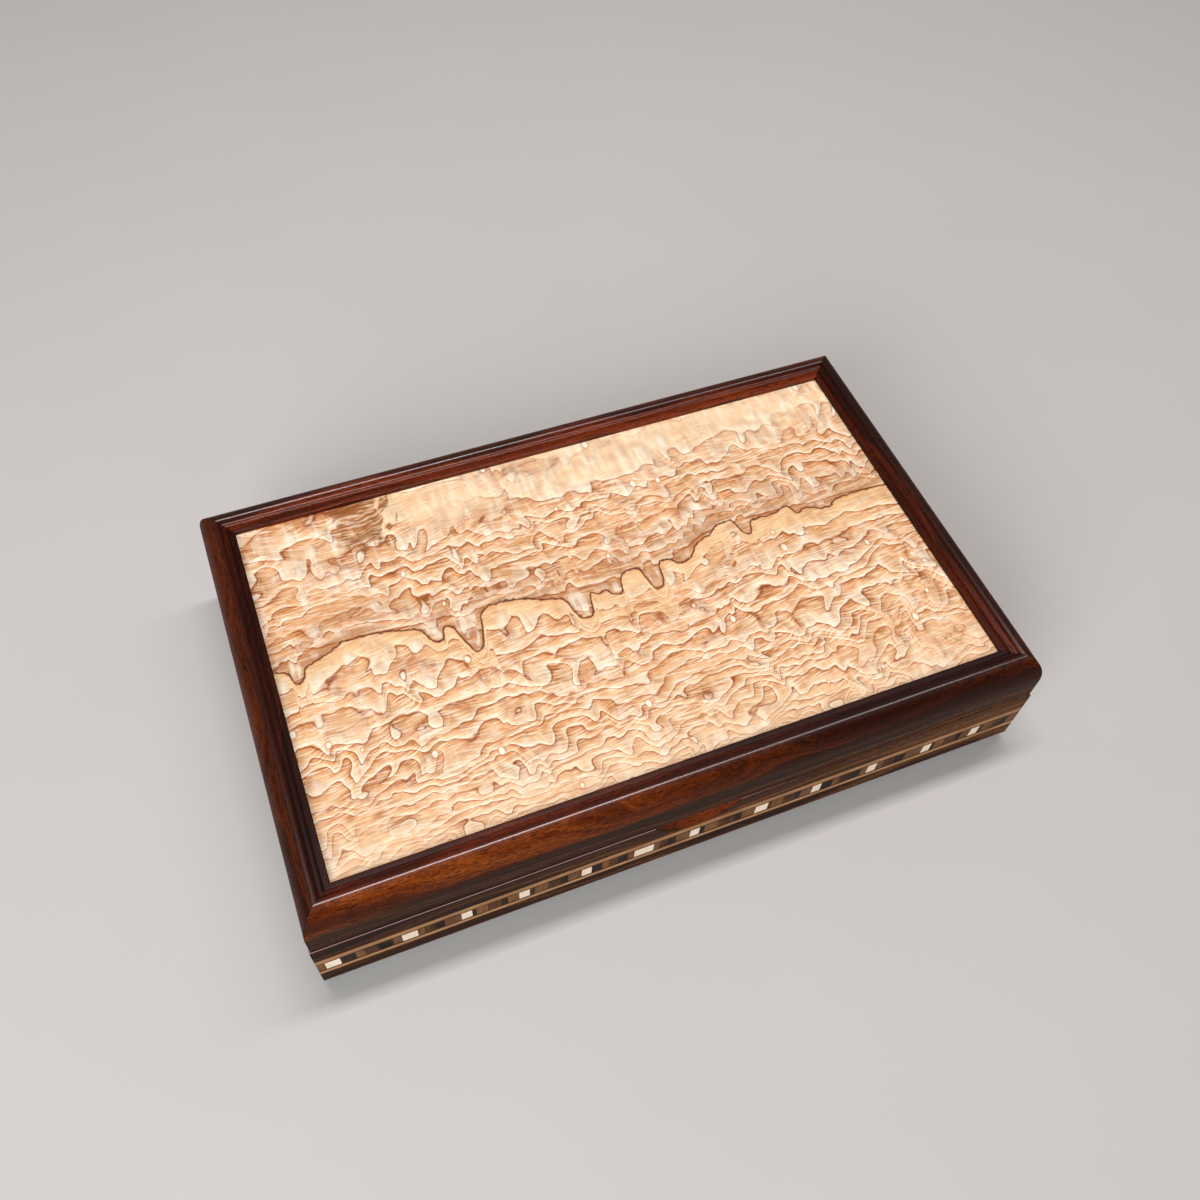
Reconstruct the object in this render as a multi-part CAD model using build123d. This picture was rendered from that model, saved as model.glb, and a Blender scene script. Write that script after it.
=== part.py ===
from build123d import *
import math
import os

# Valet box with a hinged lid and a sliding tray, in millimetres.
# Z is up, the front wall faces -Y, and the felt stands on Z = 0 under the middle of the box.

# The whole box
box_length = 406.4
box_depth = 255.0
box_height = 82.5
wall_thick = 14.0
felt_thick = 1.0
felt_inset = 6.5
seam_height = 49.6
seam_gap = 0.4
lid_setback = 0.7

# Edges of the four walls
foot_round = 5.0
top_ease = 0.8
bottom_thick = 6.0
bottom_seat = 6.0
board_play = 0.2

# Frame of the lid, measured outward from the visible edge of the panel and upward from its face
frame_face = 19.2
crest_rise = 6.7
crest_out = 9.4
lip_rise = 2.8
lip_ease = 0.6
fillet_out = 3.2
bead_out = 1.8
bead_rise = 1.7
cove_out = 2.1
cove_rise = 1.4
shoulder_drop = 17.5
panel_thick = 6.0
panel_tongue = 4.6
groove_play = 0.4
underlip_thick = 3.5
lid_liner_thick = 1.2
liner_play = 0.3

# Finger scoop in the front wall
scoop_width = 50.0
scoop_drop = 14.0
scoop_reach = 9.0

# Inlaid band round the walls, from its lowest strip up
band_foot = 16.6
band_deep = 2.5
lower_strip = 3.2
lower_line = 1.4
tile_tall = 8.6
upper_line = 1.2
upper_strip = 4.2

# Mosaic: each white tile starts one pitch after the last one, and a pattern fills the rest
corner_tile = 4.1
white_widths = [7.5, 8.0, 5.6, 5.6, 5.4, 11.0, 5.4, 7.5, 5.4, 5.6, 5.4, 5.6]
white_pitches = [38.8, 30.9, 30.8, 34.3, 29.5, 32.1, 38.6, 34.6, 34.5, 35.2, 31.3, 31.7]
fill_patterns = [
    [("black", 0.25), ("tan", 0.15), ("brown", 0.2), ("black", 0.25), ("rosy", 0.15)],
    [("tan", 0.15), ("brown", 0.24), ("black", 0.22), ("rosy", 0.39)],
    [("black", 0.09), ("tan", 0.24), ("brown", 0.3), ("black", 0.13), ("tan", 0.24)],
    [("brown", 0.1), ("tan", 0.25), ("brown", 0.24), ("black", 0.15), ("rosy", 0.26)],
]
thinnest_tile = 0.8

# Butt hinges
hinge_x = 120.0
hinge_length = 38.0
leaf_thick = 1.2
leaf_deep = 12.0
leaf_play = 0.1
barrel_radius = 2.2
barrel_gap = 0.3
knuckles = 5
knuckle_gap = 0.2
pin_radius = 1.2
pin_play = 0.05
pin_head_radius = 1.8
pin_head_thick = 0.8
screw_pitch = 12.5
screw_head_radius = 1.7
screw_head_tall = 0.9
screw_shank_radius = 0.85
screw_length = 7.0
screw_slot_wide = 0.5
screw_slot_deep = 0.35

# Inside of the box
floor_liner_thick = 1.0
liner_gap = 0.4
runner_thick = 5.0
runner_tall = 20.0
divider_thick = 4.0
divider_drop = 1.0
divider_offset = 0.7
right_divider_y = 36.0

# Sliding tray
tray_length = 186.0
tray_wall = 5.0
tray_tall = 20.0
tray_play = 0.5
tray_lift = 0.2
tray_edge_round = 1.0
tray_bottom_thick = 3.0
tray_liner_thick = 1.0
tray_divider_thick = 4.0
tray_divider_drop = 3.0
tray_long_divider_y = 25.0

# Sizes that follow from the ones above
back_face = box_depth / 2
panel_top = box_height - crest_rise
panel_low = panel_top - panel_thick
lid_low = seam_height + seam_gap
inner_length = box_length - 2 * wall_thick
inner_depth = box_depth - 2 * wall_thick
panel_length = box_length - 2 * frame_face
panel_depth = box_depth - 2 * frame_face
bottom_top = felt_thick + bottom_thick
floor_top = bottom_top + floor_liner_thick
runner_y = (inner_depth - runner_thick) / 2
runner_top = floor_top + runner_tall
line_low = band_foot + lower_strip
tile_low = line_low + lower_line
tile_top = tile_low + tile_tall
strip_low = tile_top + upper_line
band_top = strip_low + upper_strip
hinge_y = back_face + barrel_radius + barrel_gap
hinge_z = seam_height + seam_gap / 2
knuckle_length = (hinge_length - (knuckles - 1) * knuckle_gap) / knuckles
screw_y = back_face - leaf_deep / 2
tray_low = runner_top + tray_lift
tray_floor = tray_low + tray_bottom_thick + tray_liner_thick
tray_depth = inner_depth - 2 * tray_play
tray_x = -inner_length / 2 + tray_play + tray_length / 2
middle_x = tray_x + tray_length / 2 + divider_offset + divider_thick / 2
sides = ("front", "right", "back", "left")
hinge_places = (-hinge_x, hinge_x)
screw_places = [x + step * screw_pitch for x in hinge_places for step in (-1, 0, 1)]


def slab(x_low, x_high, y_low, y_high, z_low, z_high):
    size = (x_high - x_low, y_high - y_low, z_high - z_low)
    middle = ((x_low + x_high) / 2, (y_low + y_high) / 2, (z_low + z_high) / 2)
    return Pos(*middle) * Box(*size)


def board(length, depth, z_low, z_high):
    return slab(-length / 2, length / 2, -depth / 2, depth / 2, z_low, z_high)


def quarter(center, y_radius, z_radius, first_angle):
    return EllipticalCenterArc(center, y_radius, z_radius, first_angle, arc_size=90)


def mitre_wedge(length, width):
    outline = Polyline(
        (-length / 2, 0),
        (length / 2, 0),
        (length / 2 - width, width),
        (-length / 2 + width, width),
        close=True,
    )
    return extrude(make_face(outline), box_height, both=True)


def mitred(section, length, width):
    # A bar along X with its outer face on Y = 0 and both ends cut at 45 degrees
    bar = extrude(Plane.YZ * section, length / 2, both=True)
    return bar & mitre_wedge(length, width)


def rectangle_section(y_low, y_high, z_low, z_high):
    middle = Pos((y_low + y_high) / 2, (z_low + z_high) / 2)
    return middle * Rectangle(y_high - y_low, z_high - z_low)


def side_length(side):
    return box_length if side in ("front", "back") else box_depth


def frame_side(side, section, width, length, depth):
    # One mitred side of a frame of the given outer length and depth, round the middle of the box
    along, reach = (length, depth / 2) if side in ("front", "back") else (depth, length / 2)
    return turned(side, reach, mitred(section, along, width))


def turned(side, reach, piece):
    return Rot(0, 0, 90 * sides.index(side)) * Pos(0, -reach, 0) * piece


def on_side(side, piece):
    return turned(side, box_depth / 2 if side in ("front", "back") else box_length / 2, piece)


def box_side(side, section, width):
    return frame_side(side, section, width, box_length, box_depth)


def group(pieces):
    return Compound([solid for piece in pieces for solid in piece.solids()])


# Walls of the box

def wall_section():
    inner_foot = wall_thick - bottom_seat
    outline = [
        quarter((foot_round, felt_thick + foot_round), foot_round, foot_round, 180),
        Line((0, felt_thick + foot_round), (0, seam_height - top_ease)),
        quarter((top_ease, seam_height - top_ease), top_ease, top_ease, 90),
        Polyline(
            (top_ease, seam_height),
            (wall_thick, seam_height),
            (wall_thick, bottom_top),
            (inner_foot, bottom_top),
            (inner_foot, felt_thick),
            (foot_round, felt_thick),
        ),
    ]
    return make_face(outline) - rectangle_section(0, band_deep, band_foot, band_top)


def wall(side):
    return box_side(side, wall_section(), wall_thick)


def scoop_ball():
    # The ball that cuts the given width and drop in the face and the given reach in the top edge
    half = scoop_width / 2
    face_radius = (half ** 2 + scoop_drop ** 2) / (2 * scoop_drop)
    above_seam = face_radius - scoop_drop
    before_face = (half ** 2 - scoop_reach ** 2) / (2 * scoop_reach)
    ball = Sphere(math.hypot(before_face, face_radius))
    return Pos(0, -box_depth / 2 - before_face, seam_height + above_seam) * ball


def front_wall():
    return wall("front") - scoop_ball()


def back_wall():
    pockets = [leaf_pocket(x, seam_height - leaf_thick) for x in hinge_places]
    return wall("back") - pockets - box_screws(screw_shape())


# Inlaid band

def band_part(z_low, z_high):
    section = rectangle_section(0, band_deep, z_low, z_high)
    return group([box_side(side, section, band_deep) for side in sides])


def tile_spans(length):
    # Start, end and wood of every tile, from the left end of one side to its right end
    spans = [(0, corner_tile, "tan")]
    start = corner_tile
    count = 0
    while start < length:
        white = white_widths[count % len(white_widths)]
        pitch = white_pitches[count % len(white_pitches)]
        pattern = fill_patterns[count % len(fill_patterns)]
        spans.append((start, start + white, "white"))
        cut = start + white
        for wood, share in pattern:
            width = share * (pitch - white)
            spans.append((cut, cut + width, wood))
            cut += width
        start += pitch
        count += 1
    kept = [span for span in spans if span[0] < length - thinnest_tile]
    start, end, wood = kept.pop()
    return kept + [(start, length, wood)]


def tiles(wanted):
    pieces = []
    for side in sides:
        length = side_length(side)
        wedge = mitre_wedge(length, band_deep)
        for start, end, wood in tile_spans(length):
            if wood != wanted:
                continue
            tile = slab(start - length / 2, end - length / 2, 0, band_deep, tile_low, tile_top)
            if start < band_deep or end > length - band_deep:
                tile = tile & wedge
            pieces.append(on_side(side, tile))
    return group(pieces)


# Bottom and inside of the box

def base_felt():
    return board(box_length - 2 * felt_inset, box_depth - 2 * felt_inset, 0, felt_thick)


def bottom_board():
    grow = 2 * (bottom_seat - board_play)
    return board(inner_length + grow, inner_depth + grow, felt_thick, bottom_top)


def floor_liner():
    return board(inner_length - 2 * liner_gap, inner_depth - 2 * liner_gap, bottom_top, floor_top)


def tray_runner(y):
    half = runner_thick / 2
    return slab(-inner_length / 2, inner_length / 2, y - half, y + half, floor_top, runner_top)


def middle_divider():
    # It stands just past the tray's right end, between the runners
    half = divider_thick / 2
    reach = inner_depth / 2 - runner_thick
    return slab(middle_x - half, middle_x + half, -reach, reach, floor_top, runner_top - divider_drop)


def right_divider(y):
    half = divider_thick / 2
    left = middle_x + half
    return slab(left, inner_length / 2, y - half, y + half, floor_top, runner_top - divider_drop)


# Lid

def lid_point(out, up):
    return (frame_face - out, panel_top + up)


def lid_section():
    cove_foot = fillet_out + bead_out
    cove_top = cove_foot + cove_out
    arris_rise = lip_rise + bead_rise + cove_rise
    wall_out = frame_face - lid_setback
    inner_out = frame_face - wall_thick
    shoulder_out = wall_out - crest_out
    arris = lid_point(cove_top, arris_rise)
    crest = lid_point(crest_out, crest_rise)
    outline = [
        Line(lid_point(0, 0), lid_point(0, lip_rise - lip_ease)),
        quarter(lid_point(lip_ease, lip_rise - lip_ease), lip_ease, lip_ease, 0),
        Line(lid_point(lip_ease, lip_rise), lid_point(fillet_out, lip_rise)),
        quarter(lid_point(cove_foot, lip_rise), bead_out, bead_rise, 0),
        quarter(lid_point(cove_foot, arris_rise), cove_out, cove_rise, 180),
        TangentArc(crest, arris, tangent=(1, 0)),
        quarter(lid_point(crest_out, crest_rise - shoulder_drop), shoulder_out, shoulder_drop, 90),
        Polyline(
            lid_point(wall_out, crest_rise - shoulder_drop),
            (lid_setback, lid_low),
            (wall_thick, lid_low),
            lid_point(inner_out, -panel_thick - board_play - underlip_thick),
            lid_point(0, -panel_thick - board_play - underlip_thick),
            lid_point(0, -panel_thick - board_play),
            lid_point(panel_tongue + groove_play, -panel_thick - board_play),
            lid_point(panel_tongue + groove_play, 0),
            lid_point(0, 0),
        ),
    ]
    return make_face(outline)


def lid_rail(side):
    return box_side(side, lid_section(), frame_face)


def lid_back_rail():
    pockets = [leaf_pocket(x, lid_low) for x in hinge_places]
    return lid_rail("back") - pockets - lid_screws(screw_shape())


def lid_panel():
    return board(panel_length + 2 * panel_tongue, panel_depth + 2 * panel_tongue, panel_low, panel_top)


def lid_liner():
    low = panel_low - lid_liner_thick
    return board(panel_length - 2 * liner_play, panel_depth - 2 * liner_play, low, panel_low)


# Hinges

def leaf_pocket(x, z_low):
    half = hinge_length / 2 + leaf_play
    return slab(x - half, x + half, back_face - leaf_deep - leaf_play, hinge_y, z_low, z_low + leaf_thick)


def screw_shape():
    # Countersunk: flat head on Z = 0, shank downward
    head = Pos(0, 0, -screw_head_tall / 2) * Cone(screw_shank_radius, screw_head_radius, screw_head_tall)
    shank = Pos(0, 0, -screw_length / 2) * Cylinder(screw_shank_radius, screw_length)
    return head + shank


def slotted_screw():
    slot = board(2 * screw_head_radius, screw_slot_wide, -screw_slot_deep, screw_slot_deep)
    return screw_shape() - slot


def box_screws(shape):
    return [Pos(x, screw_y, seam_height) * shape for x in screw_places]


def lid_screws(shape):
    return [Pos(x, screw_y, lid_low) * Rot(180, 0, 0) * shape for x in screw_places]


def knuckle(number):
    start = -hinge_length / 2 + number * (knuckle_length + knuckle_gap)
    return start, start + knuckle_length


def along_hinge(radius, x_low, x_high):
    middle = Pos((x_low + x_high) / 2, hinge_y, hinge_z)
    return middle * Rot(0, 90, 0) * Cylinder(radius, x_high - x_low)


def leaf(x, plate_low, first_knuckle):
    half = hinge_length / 2
    plate = slab(-half, half, back_face - leaf_deep, back_face, plate_low, plate_low + leaf_thick)
    for number in range(first_knuckle, knuckles, 2):
        low, high = knuckle(number)
        web = slab(low, high, back_face, hinge_y, plate_low, plate_low + leaf_thick)
        plate = plate + web + along_hinge(barrel_radius, low, high)
    return Pos(x, 0, 0) * (plate - along_hinge(pin_radius + pin_play, -half, half))


def box_leaf(x):
    return leaf(x, seam_height - leaf_thick, 0) - box_screws(screw_shape())


def lid_leaf(x):
    return leaf(x, lid_low, 1) - lid_screws(screw_shape())


def hinge_pin(x):
    half = hinge_length / 2
    rod = along_hinge(pin_radius, -half, half)
    left_head = along_hinge(pin_head_radius, -half - pin_head_thick, -half)
    right_head = along_hinge(pin_head_radius, half, half + pin_head_thick)
    return Pos(x, 0, 0) * (rod + left_head + right_head)


# Tray

def tray_section():
    shape = rectangle_section(0, tray_wall, tray_low, tray_low + tray_tall)
    return fillet(shape.vertices().group_by(Axis.Y)[-1], tray_edge_round)


def tray_side(side):
    return Pos(tray_x, 0, 0) * frame_side(side, tray_section(), tray_wall, tray_length, tray_depth)


def tray_board(z_low, z_high):
    inner = board(tray_length - 2 * tray_wall, tray_depth - 2 * tray_wall, z_low, z_high)
    return Pos(tray_x, 0, 0) * inner


def tray_long_divider():
    half = tray_divider_thick / 2
    reach = tray_length / 2 - tray_wall
    top = tray_low + tray_tall - tray_divider_drop
    y = tray_long_divider_y
    return Pos(tray_x, 0, 0) * slab(-reach, reach, y - half, y + half, tray_floor, top)


def tray_cross_dividers():
    half = tray_divider_thick / 2
    front = -tray_depth / 2 + tray_wall
    back = tray_long_divider_y - half
    top = tray_low + tray_tall - tray_divider_drop
    third = (tray_length - 2 * tray_wall) / 3
    places = [tray_x - third / 2, tray_x + third / 2]
    return group([slab(x - half, x + half, front, back, tray_floor, top) for x in places])


# Every piece by name

parts = {
    "front_wall": front_wall(),
    "right_wall": wall("right"),
    "back_wall": back_wall(),
    "left_wall": wall("left"),
    "lower_light_strips": band_part(band_foot, line_low),
    "lower_dark_lines": band_part(line_low, tile_low),
    "upper_dark_lines": band_part(tile_top, strip_low),
    "upper_light_strips": band_part(strip_low, band_top),
    "white_tiles": tiles("white"),
    "black_tiles": tiles("black"),
    "brown_tiles": tiles("brown"),
    "tan_tiles": tiles("tan"),
    "rosy_tiles": tiles("rosy"),
    "base_felt": base_felt(),
    "bottom_board": bottom_board(),
    "floor_liner": floor_liner(),
    "front_tray_runner": tray_runner(-runner_y),
    "back_tray_runner": tray_runner(runner_y),
    "middle_divider": middle_divider(),
    "right_dividers": group([right_divider(-right_divider_y), right_divider(right_divider_y)]),
    "left_hinge_box_leaf": box_leaf(-hinge_x),
    "right_hinge_box_leaf": box_leaf(hinge_x),
    "left_hinge_pin": hinge_pin(-hinge_x),
    "right_hinge_pin": hinge_pin(hinge_x),
    "box_leaf_screws": group(box_screws(slotted_screw())),
    "lid_front_rail": lid_rail("front"),
    "lid_right_rail": lid_rail("right"),
    "lid_back_rail": lid_back_rail(),
    "lid_left_rail": lid_rail("left"),
    "lid_panel": lid_panel(),
    "lid_liner": lid_liner(),
    "left_hinge_lid_leaf": lid_leaf(-hinge_x),
    "right_hinge_lid_leaf": lid_leaf(hinge_x),
    "lid_leaf_screws": group(lid_screws(slotted_screw())),
    "tray_front": tray_side("front"),
    "tray_right_end": tray_side("right"),
    "tray_back": tray_side("back"),
    "tray_left_end": tray_side("left"),
    "tray_bottom": tray_board(tray_low, tray_low + tray_bottom_thick),
    "tray_liner": tray_board(tray_low + tray_bottom_thick, tray_floor),
    "tray_long_divider": tray_long_divider(),
    "tray_cross_dividers": tray_cross_dividers(),
}

os.makedirs("parts", exist_ok=True)
for name, piece in parts.items():
    export_step(piece, f"parts/{name}.step")
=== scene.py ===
import bmesh
import bpy
import math
from functools import partial
from mathutils import Matrix, Vector


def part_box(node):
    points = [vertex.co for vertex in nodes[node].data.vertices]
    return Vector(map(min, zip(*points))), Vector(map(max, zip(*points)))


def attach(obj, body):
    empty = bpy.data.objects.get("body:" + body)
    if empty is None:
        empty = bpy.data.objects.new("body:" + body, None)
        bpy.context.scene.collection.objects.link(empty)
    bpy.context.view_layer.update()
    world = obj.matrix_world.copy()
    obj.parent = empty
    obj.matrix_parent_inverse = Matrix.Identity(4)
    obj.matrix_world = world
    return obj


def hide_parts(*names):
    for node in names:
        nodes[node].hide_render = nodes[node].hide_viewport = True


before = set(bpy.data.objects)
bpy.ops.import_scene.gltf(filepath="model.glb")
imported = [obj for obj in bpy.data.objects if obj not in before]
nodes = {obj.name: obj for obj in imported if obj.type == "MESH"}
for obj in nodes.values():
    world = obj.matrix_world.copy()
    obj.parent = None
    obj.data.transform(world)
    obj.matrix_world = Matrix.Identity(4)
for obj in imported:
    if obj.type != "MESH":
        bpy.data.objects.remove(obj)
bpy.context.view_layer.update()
print("frame loaded:", len(nodes), "nodes")


# Helpers for materials

def linearColour(hexColour):
    # sRGB hex to the linear colour that a shader takes
    parts = [int(hexColour[i:i + 2], 16) / 255 for i in (1, 3, 5)]
    return [p / 12.92 if p <= 0.04045 else ((p + 0.055) / 1.055) ** 2.4 for p in parts] + [1.0]


def addNode(tree, kind, inputs=(), output=0, stops=(), points=(), **settings):
    # Adds a shader node, sets or links its inputs by number or name, and gives back one output
    node = tree.nodes.new("ShaderNode" + kind)
    for key, value in settings.items():
        setattr(node, key, value)
    for number, (place, hexColour) in enumerate(stops):
        elements = node.color_ramp.elements
        element = elements[number] if number < 2 else elements.new(place)
        element.position = place
        element.color = linearColour(hexColour)
    for place, height in points:
        curve = node.mapping.curves[0].points
        point = curve.new(place, height) if 0 < place < 1 else curve[-1 if place else 0]
        point.location = (place, height)
    if points:
        node.mapping.update()
    pairs = inputs.items() if isinstance(inputs, dict) else enumerate(inputs)
    for key, value in pairs:
        if isinstance(value, bpy.types.NodeSocket):
            tree.links.new(value, node.inputs[key])
        elif isinstance(value, str):
            node.inputs[key].default_value = linearColour(value)
        elif value is not None:
            node.inputs[key].default_value = value
    return node.outputs[output] if len(node.outputs) else node


def newMaterial(name):
    # Gives back the material, what adds a node to it, and the place on the piece in metres
    material = bpy.data.materials.new(name)
    material.use_nodes = True
    material.node_tree.nodes.clear()
    add = partial(addNode, material.node_tree)
    return material, add, add("TexCoord", output="Object")


def finishMaterial(material, inputs):
    surface = addNode(material.node_tree, "BsdfPrincipled", inputs)
    addNode(material.node_tree, "OutputMaterial", [surface])
    return material


def dress(node, material):
    mesh = nodes[node].data
    mesh.materials.clear()
    mesh.materials.append(material)


# Settings that many shader nodes share. A range in the looks below is (from, to), or (from, to, result at
# the first, result at the second), and goes into a Map Range node

smooth = {"interpolation_type": "SMOOTHSTEP"}
flatNoise = {"noise_dimensions": "2D"}
colourMix = {"output": 2, "data_type": "RGBA"}
times = {"operation": "MULTIPLY"}
timesPlus = {"operation": "MULTIPLY_ADD"}
minus = {"operation": "SUBTRACT"}


# Sizes of the whole box in millimetres

boxSizes = {
    "length": 406.4,
    "depth": 255.0,
    "sides": ("front", "right", "back", "left"),
    "hingeX": 120.0,
    "leafLength": 38.2,
    "leafReach": 12.1,
    "leafThick": 1.2,
    "barrelReach": 2.5,
    "sharpDegrees": 35.0,
    "mitreSpare": 4.0,  # how much longer a bar is before its mitres are cut
    "mergeMetres": 1e-6,
}


# Rosewood: a dense red-brown wood with near-black rings, sawn, scraped, sanded and rubbed with gloss
# lacquer. The rings show as long dark lines and flames, the open pores as short dark dashes, and the
# lacquer as one sharp line of light along each crest

rosewoodLook = {
    "crownDark": "#2B0D03",
    "crownMid": "#5E2506",
    "crownLight": "#9A4E16",
    "flatDark": "#240701",
    "flatMid": "#471503",
    "flatLight": "#7C2F0A",
    "faceDark": "#180802",
    "faceMid": "#3E1F08",
    "faceLight": "#754823",
    # The colour of the painted highlight along the seam and the foot
    "paintedEdgeHighlight": "#C49C98",
    # Painted light: the lit red-orange of the scoop's hollow
    "scoop": "#782F0E",
    "poreColour": "#120401",
    # Where the heart of the log lies for the front side, and how far it moves on for each next side
    "heartMm": (0.0, 61.0, 40.0),
    "heartStepMm": (37.0, 23.0, 17.0),
    "insideHeartMm": (11.0, 47.0, 90.0),
    "swayMm": 32.0,
    "swayPerMm": (0.008, 0.022, 0.022),  # bends of the log, 125 mm along it and 45 mm across
    "taper": 0.03,  # of the rings along the log
    "lineMm": 2.4,  # a dark line and the light one beside it
    "linePerMm": 0.004,  # how fast a line changes along the log
    "lineRoughness": 0.68,
    "broadScale": 0.22,
    "broadShare": 0.9,
    "speckPerMm": (0.6, 1.6, 1.6),  # short flecks
    "speck": 0.35,
    "toneRange": (0.70, 1.22),
    "faceDarker": (0.1, 0.75, 0.22, 0.02),  # at shares of the length from the left
    "crownEndMm": (8.1, 10.1),  # in from the outer face
    "shoulderMm": (64.0, 71.5),  # heights between the upright face and the crown
    # Real pores are 0.2 to 0.3 mm wide: drawn coarser, so that they show
    "poreMm": (5.0, 0.6, 0.6),
    "poreRange": (0.54, 0.68, 0.0, 0.75),
    "mitreMm": (0.35, 0.14, 0.0, 0.85),
    # Painted light in the scoop's hollow: in from the outer face, and between these heights
    "hollowFrontMm": (0.1, 0.9, 0.0, 0.75),
    "hollowBackMm": (13.4, 11.0),
    "hollowTopMm": (49.5, 49.0),
    "hollowFootMm": (34.0, 36.0),
    "hollowTones": (0.1, 0.7),
    # Painted highlights along the seam and the foot: heights, depth from the outer face, strength
    "seamAboveMm": (49.15, 49.45),
    "seamBelowMm": (49.8, 49.7),
    "seamDeepMm": (0.6, 0.4),
    "seamAlong": (0.5, 0.65, 0.8, 0.12),
    "footBelowMm": (6.2, 5.7),
    "footDeepMm": (0.45, 0.25),
    "footHighlightShare": 0.4,
    "railGloss": 0.34,
    "sideGloss": 0.2,
    "faceGloss": 0.05,
    "glossRisesMm": (6.0, 8.6),  # in from the outer face, on the crest
    "glossFallsMm": (10.5, 12.5),  # down its inner side, to half
    "woodSpecular": 0.03,
    "lacquerRoughness": 0.22,
    "lacquerIor": 2.2,  # above a real lacquer's 1.5, for the crest's line of light
    # Painted shade on the top of each rail: how much darker it is, at shares of the length from the left
    "paintedShadeOnTops": {
        "front": [(0.0, 0.05), (0.3, 0.05), (0.6, 0.38), (0.85, 0.56), (0.94, 0.42), (1.0, 0.2)],
        "right": [(0.0, 0.38), (1.0, 0.38)],
        "back": [(0.0, 0.0), (1.0, 0.0)],
        "left": [(0.0, 0.38), (1.0, 0.38)],
    },
}


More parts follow.
